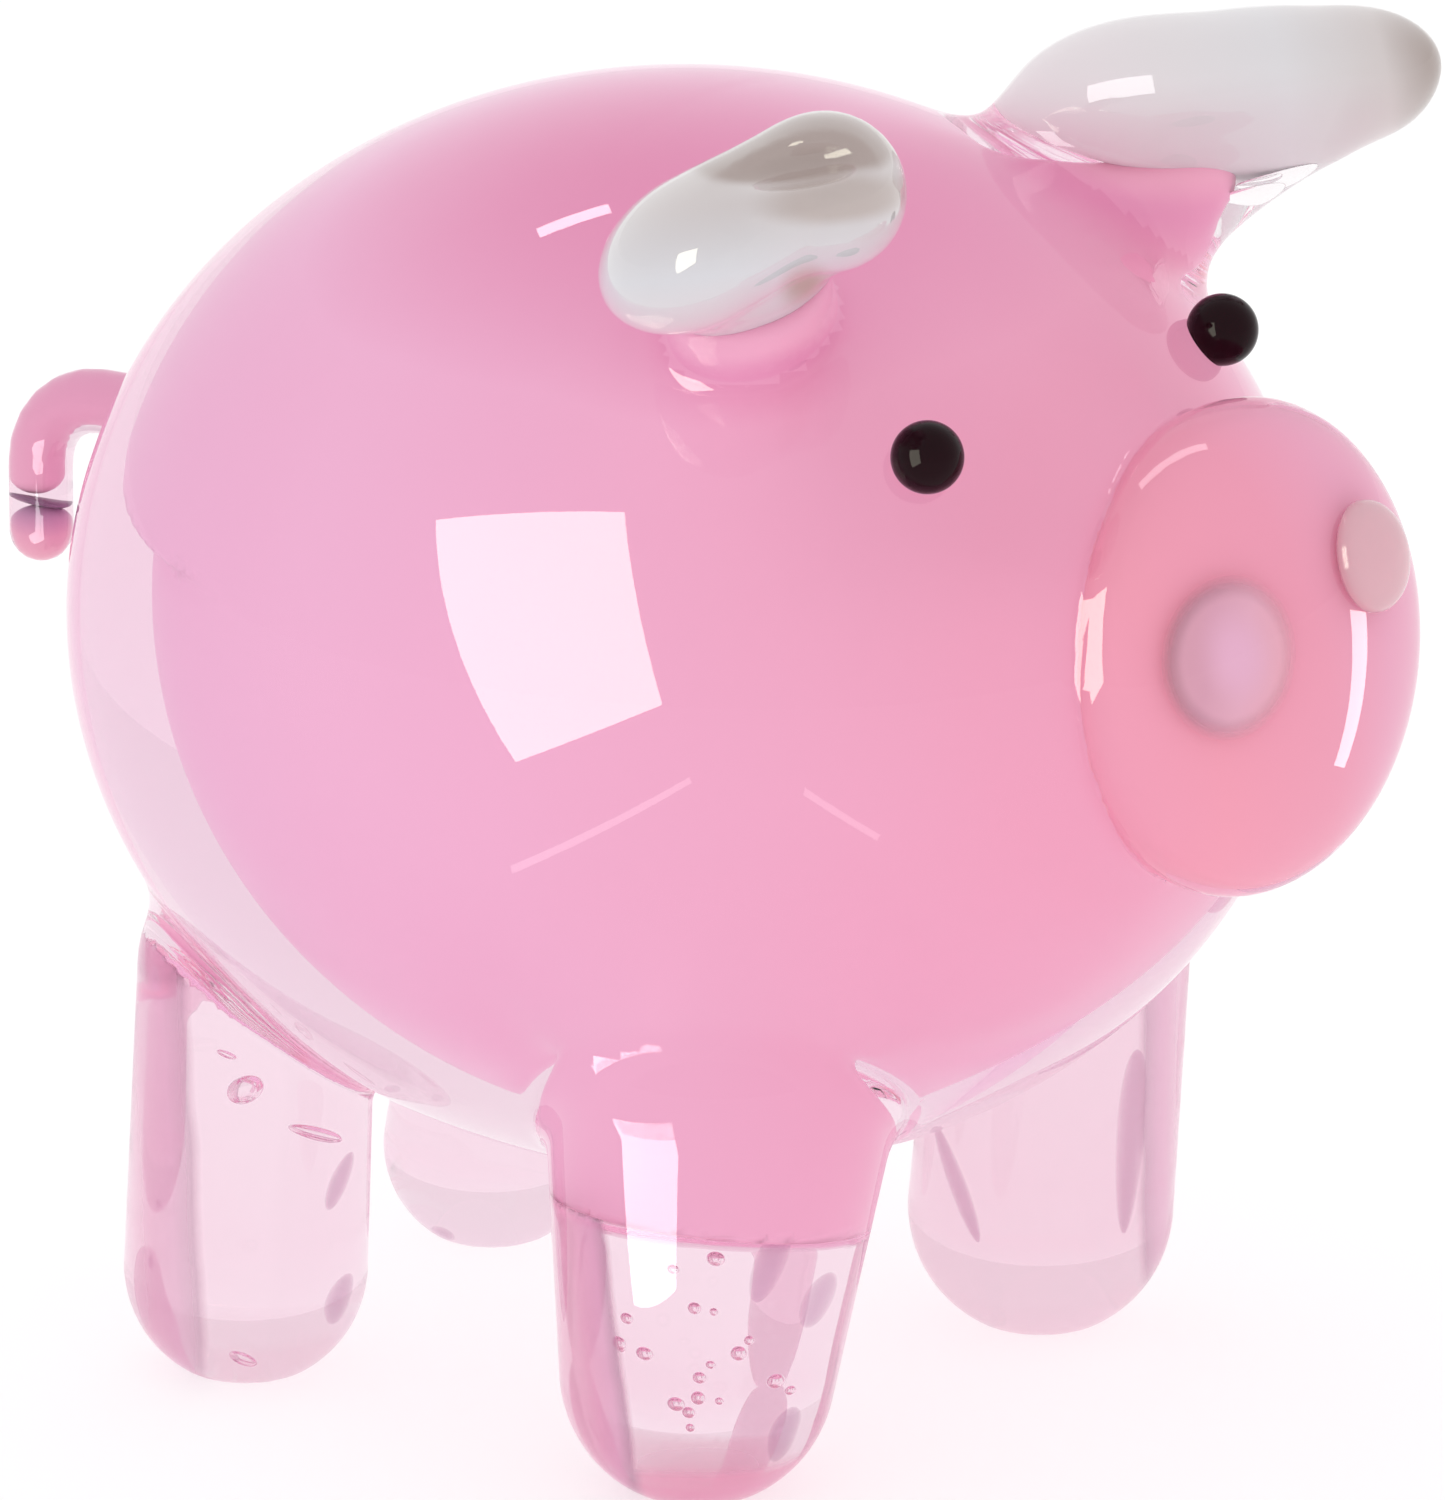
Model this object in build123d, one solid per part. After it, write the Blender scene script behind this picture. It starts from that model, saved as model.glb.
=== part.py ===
from build123d import *
import os
from math import acos, atan2, cos, degrees, hypot, radians, sin, sqrt

# Glass pig figurine, melted together at the lamp from clear, rose and opal white glass.
# Millimetres, +Z up. The pig faces -Y and its left side is +X.
# It is modelled round the centre of its body and moved at the end, so that the origin
# lies on the table under the middle of the bounding box.

# Body: opal rose glass cased in clear glass, both longer from nose to tail than round
BODY_LENGTH = 32.6
BODY_GIRTH = 27.7
BODY_HEIGHT = 20.2
BODY_PITCH = 6.6
CORE_LENGTH = 21.2
CORE_GIRTH = 17.4
CORE_ASIDE = 0.4
CORE_FORWARD = 0.4
CORE_RISE = 0.5

# Snout: a flattened bulb of clear glass round a rose lens, turned a little to the pig's right
SNOUT_WIDTH = 12.3
SNOUT_DEPTH = 5.2
SNOUT_SUNK = 0.4
SNOUT_REACH = BODY_LENGTH / 2 - SNOUT_SUNK
SNOUT_PITCH = 8.0
SNOUT_YAW = 10.0
SNOUT_ROLL = 12.0
LENS_WIDTH = 9.4
LENS_DEPTH = 1.0
LENS_GAP = 0.2

# Nostrils: a pale domed dot each, sunk into the face of the snout, the right one larger
NOSTRIL_RIGHT_WIDTH = 3.5
NOSTRIL_LEFT_WIDTH = 2.8
NOSTRIL_DOME = 0.9
NOSTRIL_SUNK = 0.5
NOSTRIL_SPREAD = 5.8
NOSTRIL_RISE = 1.2

# Eyes: black beads, each pressed onto the body. A spot on the body is named by its angle
# from the nose and its angle round from the top, positive to the pig's left.
EYE_WIDTH = 1.8
EYE_SUNK_SHARE = 0.2
EYE_RIGHT_ANGLES = (44.25, -48.75)
EYE_LEFT_ANGLES = (33.5, 27.0)

# Ears: a petal of opal white glass each, on a clear neck drawn out of the body. The petal
# stands off its spot on the body, and the steps forward, outward and upward from that spot,
# to the middle of the petal and to the end of the neck in it, are shares of how far it stands.
EAR_RIGHT = {
    "spot_angles": (61.5, -38.5),
    "length": 9.0,
    "breadth": 8.15,
    "thickness": 4.8,
    "stand": 5.4,
    "neck_widths": (4.6, 3.4),
    "neck_depth": 2.5,
    "line_shares": (0.53, 0.81, 0.25),
    "lean_shares": (0.67, -0.58, 0.46),
    "middle_shares": (0.29, 0.63, 0.71),
    "throat_shares": (0.33, 0.59, 0.55),
}
EAR_LEFT = {
    "spot_angles": (54.75, 37.0),
    "length": 11.0,
    "breadth": 7.4,
    "thickness": 4.0,
    "stand": 4.1,
    "neck_widths": (4.4, 1.7),
    "neck_depth": 1.2,
    "line_shares": (0.765, 0.635, 0.105),
    "lean_shares": (0.49, -0.81, 0.31),
    "middle_shares": (0.40, 0.58, 0.70),
    "throat_shares": (0.85, 0.77, 0.48),
}
EAR_NECK_FLAT_SHARE = 1.3

# Legs: clear stubs drawn out from the body, melted round at the foot and flat where they
# stand. Places of foot and crown, sideways and backward, are shares of the body's half
# girth and half length.
FOOT_FLAT = 0.3
CROWN_DEPTH = 9.0
LEG_WIDTHS = {
    "front_right": (6.9, 8.9),
    "front_left": (6.8, 6.5),
    "rear_right": (6.2, 6.0),
    "rear_left": (5.6, 5.6),
}
LEG_SHARES = {
    "front_right": ((-0.48, -0.24), (-0.49, -0.31)),
    "front_left": ((0.615, -0.31), (0.59, -0.38)),
    "rear_right": ((-0.345, 0.64), (-0.43, 0.56)),
    "rear_left": ((0.49, 0.65), (0.475, 0.52)),
}

# Tail: a rose rod that leaves the body backward and bends down to a melted round end
TAIL_THICKNESS = 1.65
TAIL_ANGLES = (160.0, 0.0)
TAIL_DEPTH = 2.5
TAIL_REACH = 3.6
TAIL_DROP = 3.7
TAIL_BEND = 1.9

# One overrun for every cut or buried end that runs past a surface
OVERRUN = 5.0

MIDDLE = Vector(0, 0, 0)
LEFT = Vector(1, 0, 0)
NOSE = Vector(0, -cos(radians(BODY_PITCH)), sin(radians(BODY_PITCH)))
BACK = Vector(0, sin(radians(BODY_PITCH)), cos(radians(BODY_PITCH)))


def turned(outline, start, axis, across=LEFT):
    """Solid turned from a half outline in X and Y, whose Y is laid along an axis."""
    return Plane(start, x_dir=across, z_dir=axis) * Rot(90, 0, 0) * revolve(outline, Axis.Y)


def body_spot(angles):
    """Point on the body at an angle from the nose and an angle round from the top."""
    from_nose, round_top = (radians(angle) for angle in angles)
    girdle = LEFT * sin(round_top) + BACK * cos(round_top)
    return NOSE * (BODY_LENGTH / 2 * cos(from_nose)) + girdle * (BODY_GIRTH / 2 * sin(from_nose))


def egg(length, girth, middle):
    """Closed ball form drawn out along the line from tail to nose."""
    ball = scale(Sphere(1), by=(girth / 2, length / 2, girth / 2))
    return Plane(middle, x_dir=LEFT, z_dir=BACK) * ball


def body():
    """The clear body as one closed solid, which every other piece is seated on."""
    return egg(BODY_LENGTH, BODY_GIRTH, MIDDLE)


def body_core():
    """The opal rose glass inside the clear body, a little off its middle."""
    return egg(CORE_LENGTH, CORE_GIRTH, LEFT * CORE_ASIDE + NOSE * CORE_FORWARD + BACK * CORE_RISE)


def snout_plane():
    """Plane across the middle of the snout, whose normal points out of its face."""
    pitch, yaw = radians(SNOUT_PITCH), radians(SNOUT_YAW)
    face = Vector(-sin(yaw) * cos(pitch), -cos(yaw) * cos(pitch), sin(pitch))
    across = LEFT * cos(radians(SNOUT_ROLL)) + face.cross(LEFT) * sin(radians(SNOUT_ROLL))
    return Plane(NOSE * SNOUT_REACH, x_dir=across, z_dir=face)


def snout():
    """The bulb as one closed solid, before the body and the nostrils are cut out of it."""
    bulb = scale(Sphere(1), by=(SNOUT_WIDTH / 2, SNOUT_WIDTH / 2, SNOUT_DEPTH / 2))
    return snout_plane() * Rot(0, 0, -90) * bulb


def dome(width, height):
    """Cap of a ball on a flat round foot, standing on the XY plane."""
    radius = (width**2 / 4 + height**2) / (2 * height)
    return Pos(0, 0, height - radius) * Sphere(radius) & Pos(0, 0, height / 2) * Box(width, width, height)


def snout_lens():
    """Rose glass whose flat back lies just clear of the body, seen through the bulb's face."""
    ahead = snout_plane().z_dir.dot(NOSE)
    body_front = hypot(BODY_LENGTH / 2 * ahead, BODY_GIRTH / 2 * sqrt(1 - ahead**2))
    return snout_plane() * Pos(0, 0, body_front - SNOUT_REACH * ahead + LENS_GAP) * dome(LENS_WIDTH, LENS_DEPTH)


def nostril(side, width):
    """Dot square to the face of the snout, on the pig's left (1) or right (-1)."""
    off_x, off_y = side * NOSTRIL_SPREAD / 2, NOSTRIL_RISE
    half_width, half_depth = SNOUT_WIDTH / 2, SNOUT_DEPTH / 2
    off_z = half_depth * sqrt(1 - (off_x**2 + off_y**2) / half_width**2)
    outward = Vector(off_x / half_width**2, off_y / half_width**2, off_z / half_depth**2)
    seat = Plane((off_x, off_y, off_z), z_dir=outward)
    stem = Pos(0, 0, -NOSTRIL_SUNK / 2) * Cylinder(width / 2, NOSTRIL_SUNK)
    return snout_plane() * seat * (stem + dome(width, NOSTRIL_DOME))


def eye(angles):
    """Bead whose back is cut away by the body that it is pressed onto."""
    outward = body_spot(angles).normalized()
    middle = body_spot(angles) + outward * (EYE_WIDTH / 2 - EYE_SUNK_SHARE * EYE_WIDTH)
    return Plane(middle, z_dir=outward) * Sphere(EYE_WIDTH / 2) - body()


def drop(start, end, widths, across, flat_share):
    """Tapered bar with round ends, drawn wider by a share in the across direction."""
    length = (end - start).length
    large, small = (width / 2 for width in widths)
    lean = degrees(acos((large - small) / length))
    low = CenterArc((0, 0), large, -90, 180 - lean)
    high = CenterArc((0, length), small, 90 - lean, lean)
    half = make_face([low, Line(low @ 1, high @ 0), high, Line(high @ 1, low @ 0)])
    bar = Rot(90, 0, 0) * revolve(half, Axis.Y)
    return Plane(start, x_dir=across, z_dir=end - start) * scale(bar, by=(flat_share, 1, 1))


def ear(shape, side):
    """Opal petal of an ear on the pig's left (1) or right (-1), and its clear neck."""
    root = body_spot(shape["spot_angles"])

    def step(shares):
        ahead, out, up = shares
        return Vector(side * out, -ahead, up)

    across = step(shape["lean_shares"])
    middle = root + step(shape["middle_shares"]) * shape["stand"]
    throat = root + step(shape["throat_shares"]) * shape["stand"]
    start = root - root.normalized() * shape["neck_depth"]
    petal = scale(Sphere(1), by=(shape["breadth"] / 2, shape["thickness"] / 2, shape["length"] / 2))
    petal = Plane(middle, x_dir=across, z_dir=step(shape["line_shares"])) * petal - body()
    neck = drop(start, throat, shape["neck_widths"], across, EAR_NECK_FLAT_SHARE)
    return petal, neck - body() - petal


def leg(widths, places):
    """Stub with a round foot and straight sides, cut by the table and by the body."""
    (foot_side, foot_back), (crown_side, crown_back) = places
    half_girth, half_length = BODY_GIRTH / 2, BODY_LENGTH / 2
    foot = Vector(half_girth * foot_side, half_length * foot_back, -BODY_HEIGHT - FOOT_FLAT)
    crown = Vector(half_girth * crown_side, half_length * crown_back, -CROWN_DEPTH)
    height = (crown - foot).length
    foot_radius, crown_radius = (width / 2 for width in widths)
    reach = hypot(crown_radius, height - foot_radius)
    turn = atan2(height - foot_radius, crown_radius) - acos(foot_radius / reach)
    ball = CenterArc((0, foot_radius), foot_radius, -90, 90 + degrees(turn))
    sides = Polyline(ball @ 1, (crown_radius, height), (0, height), (0, 0))
    stub = turned(make_face([ball, sides]), foot, crown - foot)
    table = Pos(foot.X, foot.Y, -BODY_HEIGHT - OVERRUN) * Box(widths[1] + OVERRUN, widths[1] + OVERRUN, 2 * OVERRUN)
    return stub - table - body()


def tail():
    """Rod swept along two straight runs and the bend between them, with a ball for its end."""
    root = body_spot(TAIL_ANGLES)
    steps = ((-TAIL_DEPTH, 0), (TAIL_REACH, 0), (TAIL_REACH, -TAIL_DROP))
    points = [root + Vector(0, behind, up) for behind, up in steps]
    path = FilletPolyline(*points, radius=TAIL_BEND)
    rod = sweep(Plane(path @ 0, z_dir=path % 0) * Circle(TAIL_THICKNESS / 2), path)
    return rod + Pos(path @ 1) * Sphere(TAIL_THICKNESS / 2) - body()


def pieces():
    """Every piece by name, in the frame of the body's middle."""
    nostril_right = nostril(-1, NOSTRIL_RIGHT_WIDTH)
    nostril_left = nostril(1, NOSTRIL_LEFT_WIDTH)
    ear_right, ear_right_neck = ear(EAR_RIGHT, -1)
    ear_left, ear_left_neck = ear(EAR_LEFT, 1)
    return {
        "body_casing": body() - body_core(),
        "body_core": body_core(),
        "snout_casing": snout() - body() - snout_lens() - nostril_right - nostril_left,
        "snout_lens": snout_lens(),
        "nostril_right": nostril_right,
        "nostril_left": nostril_left,
        "eye_right": eye(EYE_RIGHT_ANGLES),
        "eye_left": eye(EYE_LEFT_ANGLES),
        "ear_right": ear_right,
        "ear_right_neck": ear_right_neck,
        "ear_left": ear_left,
        "ear_left_neck": ear_left_neck,
        **{f"leg_{place}": leg(LEG_WIDTHS[place], LEG_SHARES[place]) for place in LEG_WIDTHS},
        "tail": tail(),
    }


def write():
    """Moves every piece onto the table and writes one file a piece."""
    os.makedirs("parts", exist_ok=True)
    pig = pieces()
    boxes = [piece.bounding_box() for piece in pig.values()]
    middle_x = (min(box.min.X for box in boxes) + max(box.max.X for box in boxes)) / 2
    middle_y = (min(box.min.Y for box in boxes) + max(box.max.Y for box in boxes)) / 2
    onto_table = Pos(-middle_x, -middle_y, BODY_HEIGHT)
    print("body middle", round(-middle_x, 3), round(-middle_y, 3), BODY_HEIGHT)
    for name, piece in pig.items():
        export_step(onto_table * piece, f"parts/{name}.step")


write()
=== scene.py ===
from math import cos, radians, sin, sqrt, tau

import bpy
import numpy as np
from mathutils import Matrix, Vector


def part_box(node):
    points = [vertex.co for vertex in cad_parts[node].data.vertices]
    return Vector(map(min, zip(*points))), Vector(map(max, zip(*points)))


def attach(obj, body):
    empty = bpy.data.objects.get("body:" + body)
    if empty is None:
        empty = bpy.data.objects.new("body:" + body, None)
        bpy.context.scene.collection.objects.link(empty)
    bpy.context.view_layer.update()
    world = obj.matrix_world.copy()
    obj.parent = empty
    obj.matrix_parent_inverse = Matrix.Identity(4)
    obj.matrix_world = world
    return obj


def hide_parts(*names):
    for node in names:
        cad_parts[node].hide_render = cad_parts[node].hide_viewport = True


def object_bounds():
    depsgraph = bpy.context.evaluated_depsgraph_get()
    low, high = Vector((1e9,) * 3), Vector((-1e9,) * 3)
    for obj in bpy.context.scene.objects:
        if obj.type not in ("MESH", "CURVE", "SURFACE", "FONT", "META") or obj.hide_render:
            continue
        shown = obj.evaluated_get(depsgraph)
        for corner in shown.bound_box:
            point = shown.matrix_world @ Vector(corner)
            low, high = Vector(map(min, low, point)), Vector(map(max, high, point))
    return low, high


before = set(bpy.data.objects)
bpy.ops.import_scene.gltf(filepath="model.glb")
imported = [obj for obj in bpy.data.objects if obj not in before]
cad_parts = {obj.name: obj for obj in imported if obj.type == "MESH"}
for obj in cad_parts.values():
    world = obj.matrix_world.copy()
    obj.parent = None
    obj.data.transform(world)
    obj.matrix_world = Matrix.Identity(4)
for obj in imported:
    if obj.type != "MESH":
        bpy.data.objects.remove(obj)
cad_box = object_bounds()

# Lampworked glass pig. Forms are worked out in millimetres round the centre of the body,
# with the pig facing -Y and its left side at +X, and are built in metres in the row's frame.
MM = 0.001
BODY_MIDDLE = sum(np.array(corner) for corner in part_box("body_casing")) / 2 / MM
MESH_GRAIN = 0.25
MESH_MARGIN = 1.0
TINY = 1e-6

# How many rings the mesh of each ball has
VEIL_RINGS = 128
NOSTRIL_RINGS = 64
EYE_RINGS = 48
TAIL_RINGS = 32
SEED_RINGS = 16

# Body, and its own axes: to its left, to its nose and up its back
BODY_LENGTH = 32.6
BODY_GIRTH = 27.7
BODY_PITCH = 6.6
TABLE = -20.2
LEFT = np.array([1.0, 0.0, 0.0])
NOSE = np.array([0.0, -cos(radians(BODY_PITCH)), sin(radians(BODY_PITCH))])
BACK = np.array([0.0, sin(radians(BODY_PITCH)), cos(radians(BODY_PITCH))])
BODY_AXES = np.array([LEFT, NOSE, BACK])
UPRIGHT = np.array([0.0, 0.0, 1.0])

SNOUT_WIDTH = 12.3
SNOUT_DEPTH = 5.2
SNOUT_SUNK = 0.4
SNOUT_REACH = BODY_LENGTH / 2 - SNOUT_SUNK
SNOUT_PITCH = 8.0
SNOUT_YAW = 10.0
SNOUT_ROLL = 12.0

# Legs: width at the foot and at the crown, then foot and crown as shares of the body's half
# girth sideways and of its half length backward
CROWN_DEPTH = 9.0
FOOT_FLAT = 0.3
LEGS = {
    "leg_front_right": (6.9, 8.9, (-0.48, -0.24), (-0.49, -0.31)),
    "leg_front_left": (6.8, 6.5, (0.615, -0.31), (0.59, -0.38)),
    "leg_rear_right": (6.2, 6.0, (-0.345, 0.64), (-0.43, 0.56)),
    "leg_rear_left": (5.6, 5.6, (0.49, 0.65), (0.475, 0.52)),
}

TAIL_THICKNESS = 1.65
TAIL_ANGLES = (160.0, 0.0)
TAIL_DEPTH = 2.5
TAIL_REACH = 3.6
TAIL_DROP = 3.7
TAIL_BEND = 1.9

# Ears: steps are shares ahead, outward and up, and the petal's lobes are given by middle and
# radii along its own axes
EAR_SKIN = 0.28
EAR_NECK_FLAT_SHARE = 1.3
EARS = {
    "ear_right": {
        "side": -1,
        "spot_angles": (61.5, -38.5),
        "stand": 5.4,
        "neck_widths": (3.4, 2.8),
        "neck_depth": 2.5,
        "foot_rise": 0.9,
        "line_shares": (0.53, 0.81, 0.25),
        "lean_shares": (0.67, -0.58, 0.46),
        "middle_shares": (0.29, 0.63, 0.71),
        "throat_shares": (0.33, 0.59, 0.55),
        "lobes": (((-1.15, 0.0, 0.0), (2.7, 1.85, 4.5)), ((2.1, -0.25, 0.0), (1.9, 1.95, 3.8)),
                  ((0.7, 0.0, 0.0), (2.6, 1.75, 4.2))),
    },
    "ear_left": {
        "side": 1,
        "spot_angles": (54.75, 37.0),
        "stand": 4.1,
        "neck_widths": (4.4, 1.7),
        "neck_depth": 1.2,
        "foot_rise": 0.0,
        "line_shares": (0.765, 0.635, 0.105),
        "lean_shares": (0.49, -0.81, 0.31),
        "middle_shares": (0.40, 0.58, 0.70),
        "throat_shares": (0.85, 0.77, 0.48),
        "lobes": (((0.0, 0.0, 0.0), (3.7, 2.0, 5.45)), ((0.0, -0.2, -2.2), (3.2, 1.9, 3.15)),
                  ((0.0, 0.15, 3.35), (2.8, 1.65, 2.05))),
    },
}
LOBE_MELT = 0.5
EAR_REACH = 6.5
EAR_GRAIN = 0.16

# Hollow that folds the right ear, along the petal's own axes
FOLD_ACROSS = (0.92, -0.39, 0.0)
FOLD_PLACE = (1.65, 0.95, 4.0)
FOLD_RADII = (2.7, 0.95, 2.0)
FOLD_MELT = 0.4

EYE_WIDTH = 1.8
EYE_SUNK_SHARE = 0.2
EYES = {"eye_right": (44.25, -48.75), "eye_left": (33.5, 27.0)}

# Nostrils: the right one's edge and the painted light in its middle are given by their radii and softness
NOSTRIL_SPREAD = 5.8
NOSTRIL_RISE = 1.2
DISH_RADII = (2.0, 2.0, 0.2)
DISH_SUNK = 0.32
DISH_SHIFT = 0.2
DISH_EDGE = ((1.74, 1.74), 0.2)
# Painted light that brightens the middle of the right nostril: its shift, radii and softness
DISH_PAINTED_LIGHT_SHIFT = 0.3
DISH_PAINTED_LIGHT = ((0.7, 0.9), 0.8)
# Painted shade that darkens the right nostril towards its upper left: its slope and reach
DISH_SHADE_FALL = 0.6
DISH_SHADE_REACH = 1.7
BEAD_RADII = (1.4, 1.4, 0.8)

# How far the glass has run into a fillet at each kind of weld
LEG_MELT = 0.7
EAR_MELTS = {"ear_right": 0.5, "ear_left": 1.4}
EAR_FOOT_MELTS = {"ear_right": 0.6, "ear_left": 1.8}
SNOUT_MELT = 0.3
TAIL_MELT = 0.9
FOOT_MELT = 0.15

# Rose core, drawn a little inside its solid, and the swell of more rose glass towards the upper
# tail side. Places are along the body's axes.
CORE_LENGTH = 21.2
CORE_GIRTH = 17.4
CORE_GAP = 0.2
CORE_PLACE = (0.4, 0.4, 0.35)
SWELL_PLACE = (0.74, 0.5, 0.45)
SWELL_RADII = (8.3, 11.5, 8.3)
SWELL_FOOT = 1.5
SWELL_FRONT = -1.0
SWELL_EDGE_MELT = 0.3
SWELL_MELT = 0.2
VEIL_PLACE = (0.5, 0.1, 0.3)
VEIL_RADII = (8.55, 12.0, 8.55)

# Rose lens of the snout, and the rose glass that joins it to the core
LENS_RADII = (5.45, 5.45, 1.95)
LENS_PROUD = 0.1
LENS_MELT = 0.4
WELD_START = 6.5
WELD_STOP = 3.5
WELD_RADII = (6.4, 4.6)

# Rose glass drawn into the crown of the front right leg, where it ends flat, and into the ears'
# necks, where it ends at a share of the neck and some way to the right
BLUSH_START = np.array([-4.2, -3.0, -4.5])
BLUSH_END = -12.75
BLUSH_RADII = (2.4, 2.95)
BLUSH_AWAY_SLOPE = -0.15
BLUSH_SIDE_SLOPE = 0.12
BLUSH_EDGE_MELT = 0.15
EAR_BLUSH_DEPTH = 5.6
EAR_BLUSH_RADII = (2.2, 1.0)
EAR_BLUSH_ENDS = {"ear_right": (0.3, 0.0), "ear_left": (0.65, -1.3)}
ROSE_MELT = 3.0
ROSE_BOX = ((-12.5, -19.5, -15.0), (12.5, 13.0, 16.5))

# Rose rod in the tail, the seam below it and the round end. Along the seam and square to it are
# given as shares to the right, up and towards the camera.
TAIL_ROSE_RADIUS = 0.46
TAIL_ROSE_SHIFT = np.array([0.0, 0.1, 0.08])
TAIL_ROSE_STOP = 1.4
TAIL_ROSE_REACH = 5.0
TAIL_ROSE_GRAIN = 0.12
SEAM_RISE = 0.8
SEAM_RADII = (0.55, 0.55, 0.12)
SEAM_ALONG = (1.0, -0.3, 0.0)
SEAM_SQUARE = (0.29, 0.957, 0.12)
TAIL_END_RISE = 0.08
TAIL_END_RADII = (0.52, 0.52, 0.66)
TAIL_END_COLOUR_REACH = 0.6

# Rose tint of a leg: how far it lies under the skin, off the body and above the table. For each
# leg its side, its tilt, how dense it is from that side on, and how dense it is round the foot.
TINT_DEPTH = 0.22
TINT_OFF_BODY = 0.6
TINT_RISE = 0.25
TINT_DROP = 2.0
TINT_REACH = np.array([6.0, 6.0, 8.5])
TINT_GRAIN = 0.2
TINT_FOOT_HEIGHT = 3.0
LEG_TINTS = {
    "leg_front_right": (1, 0.12, ((0.0, 0.5), (0.04, 0.72), (0.13, 0.7), (0.155, 0.0), (1.0, 0.0)), 0.7),
    "leg_rear_right": (1, 0.03, ((0.0, 0.1), (0.1, 0.48), (0.27, 0.46), (0.31, 0.0), (1.0, 0.0)), 0.1),
    "leg_front_left": (-1, 0.0, ((0.0, 0.1), (0.1, 0.5), (0.17, 0.5), (0.2, 0.08), (1.0, 0.08)), 0.1),
}

# Camera, and the photograph in its pixels: its size, its centre and where the body's centre shows
CAMERA_AZIMUTH = -59.0
CAMERA_ELEVATION = 18.0
CAMERA_DISTANCE = 420.0
FRAME_HEIGHT = 37.5
SENSOR = 36.0
PHOTO = (1445, 1500)
PHOTO_CENTRE = (PHOTO[0] / 2, PHOTO[1] / 2)
BODY_SHOWN_AT = (689.7, 617.9)
PIXELS_PER_MM = PHOTO[1] / FRAME_HEIGHT

# Wisps of mauve glass in the legs: place, half width and half height in the photograph, and lean
WISP_DEPTH = 0.4
WISPS = (
    ("leg_front_right", (772, 1245), (11, 44), 0.2), ("leg_front_right", (826, 1290), (13, 30), 0.2),
    ("leg_front_right", (790, 1425), (11, 26), 0.2), ("leg_rear_right", (345, 1185), (9, 30), 0.2),
    ("leg_rear_right", (345, 1310), (12, 24), 0.2), ("leg_rear_left", (433, 1240), (10, 7), 0.2),
    ("leg_front_left", (1144, 1150), (11, 100), -0.03), ("leg_front_left", (955, 1200), (8, 60), -0.2),
)

# Seeds of air in the front right leg, by their places in the photograph. From one to the next
# their sizes and depths swing on by these turns.
SEED_RADIUS = 0.15
SEED_SPREAD = 0.05
SEED_SIZE_TURN = 2.3
SEED_DEPTH = 0.6
SEED_DEPTH_TURN = 1.7
SEED_NARROW_SHARE = 0.7
SEEDS = (
    (632, 1312), (615, 1335), (628, 1345), (655, 1350), (697, 1293), (716, 1295), (718, 1245),
    (680, 1258), (752, 1325), (740, 1340), (712, 1357), (702, 1368), (700, 1385), (720, 1392),
    (682, 1400), (691, 1403), (692, 1417), (770, 1375), (782, 1387),
)

# Drawn-out seeds at the weld of the rear right leg, and folds in the web under the left ear:
# place in the photograph, how far towards the camera, and radii. Leans are falls over runs.
REAR_SEED_LEAN = 0.47 / 0.88
REAR_SEEDS = (
    ((242, 1078), 0.6, (0.30, 0.42, 0.3)), ((318, 1130), 0.4, (0.62, 0.17, 0.25)),
    ((222, 1040), 0.8, (0.20, 0.09, 0.1)), ((238, 1352), 1.2, (0.30, 0.14, 0.2)),
)
EAR_FOLD_LEAN = -0.3 / 0.95
EAR_FOLDS = (((1235, 176), 1.2, (0.9, 0.06, 0.5)), ((1262, 158), 1.2, (1.1, 0.05, 0.5)))

# Painted shade on the right ear by place, radii, softness and colour: in its hollow, along the crease below
# it, and in the brown nick between its lobes
EAR_PAINTED_SHADE = (
    ((1.75, 0.95, 4.0), (2.5, 0.74), 0.15, "#AC9D98"),
    ((2.2, -0.45, 4.0), (1.7, 0.42), 0.4, "#BFB3AF"),
    ((0.6, -1.75, 4.0), (0.6, 0.45), 0.6, "#B5A498"),
)

# What the glass mirrors: a window and bright edges in the room, which stop just above the table.
# Each is given by the form that mirrors it, its distance, its strength, its colour, and the
# corners at which the photograph shows it.
CARD_RISE = 0.3
WHITE = "#FFFFFF"
ROOM = (
    ("window", "body_casing", 400.0, 9.0, "#FFFEE8", ((435, 520), (625, 512), (663, 705), (515, 762))),
    ("bright_edge_high", "body_casing", 400.0, 8.0, WHITE, ((536, 229), (608, 204), (612, 213), (540, 238))),
    ("bright_edge_low", "body_casing", 400.0, 2.2, WHITE, ((510, 866), (690, 777), (692, 783), (512, 874))),
    ("bright_edge_right", "body_casing", 400.0, 2.0, WHITE, ((805, 788), (880, 835), (877, 841), (803, 795))),
    ("bright_edge_snout", "snout_casing", 400.0, 6.0, WHITE,
     ((1350, 610), (1366, 612), (1344, 768), (1334, 765))),
    ("bright_edge_brow", "snout_casing", 400.0, 4.0, WHITE,
     ((1138, 484), (1205, 443), (1208, 449), (1141, 490))),
    ("bright_edge_leg", "leg_front_right", 400.0, 9.0, WHITE,
     ((612, 1118), (672, 1122), (676, 1290), (634, 1305))),
    ("bright_edge_ear", "ear_left", 400.0, 6.0, WHITE, ((1088, 86), (1152, 75), (1155, 93), (1090, 104))),
    ("bright_edge_tail", "tail", 200.0, 7.0, WHITE, ((35, 440), (47, 436), (47, 474), (36, 478))),
)
WINDOW_SEEN_BY = ("body_casing_glass", "snout_casing_glass", "ear_right_skin", "eye_right_bead",
                  "eye_left_bead", "nostril_left_bead")

# A ray is followed to a form in steps of this share of its distance
MARCH_STEPS = 80
MARCH_SHARE = 0.7

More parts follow.
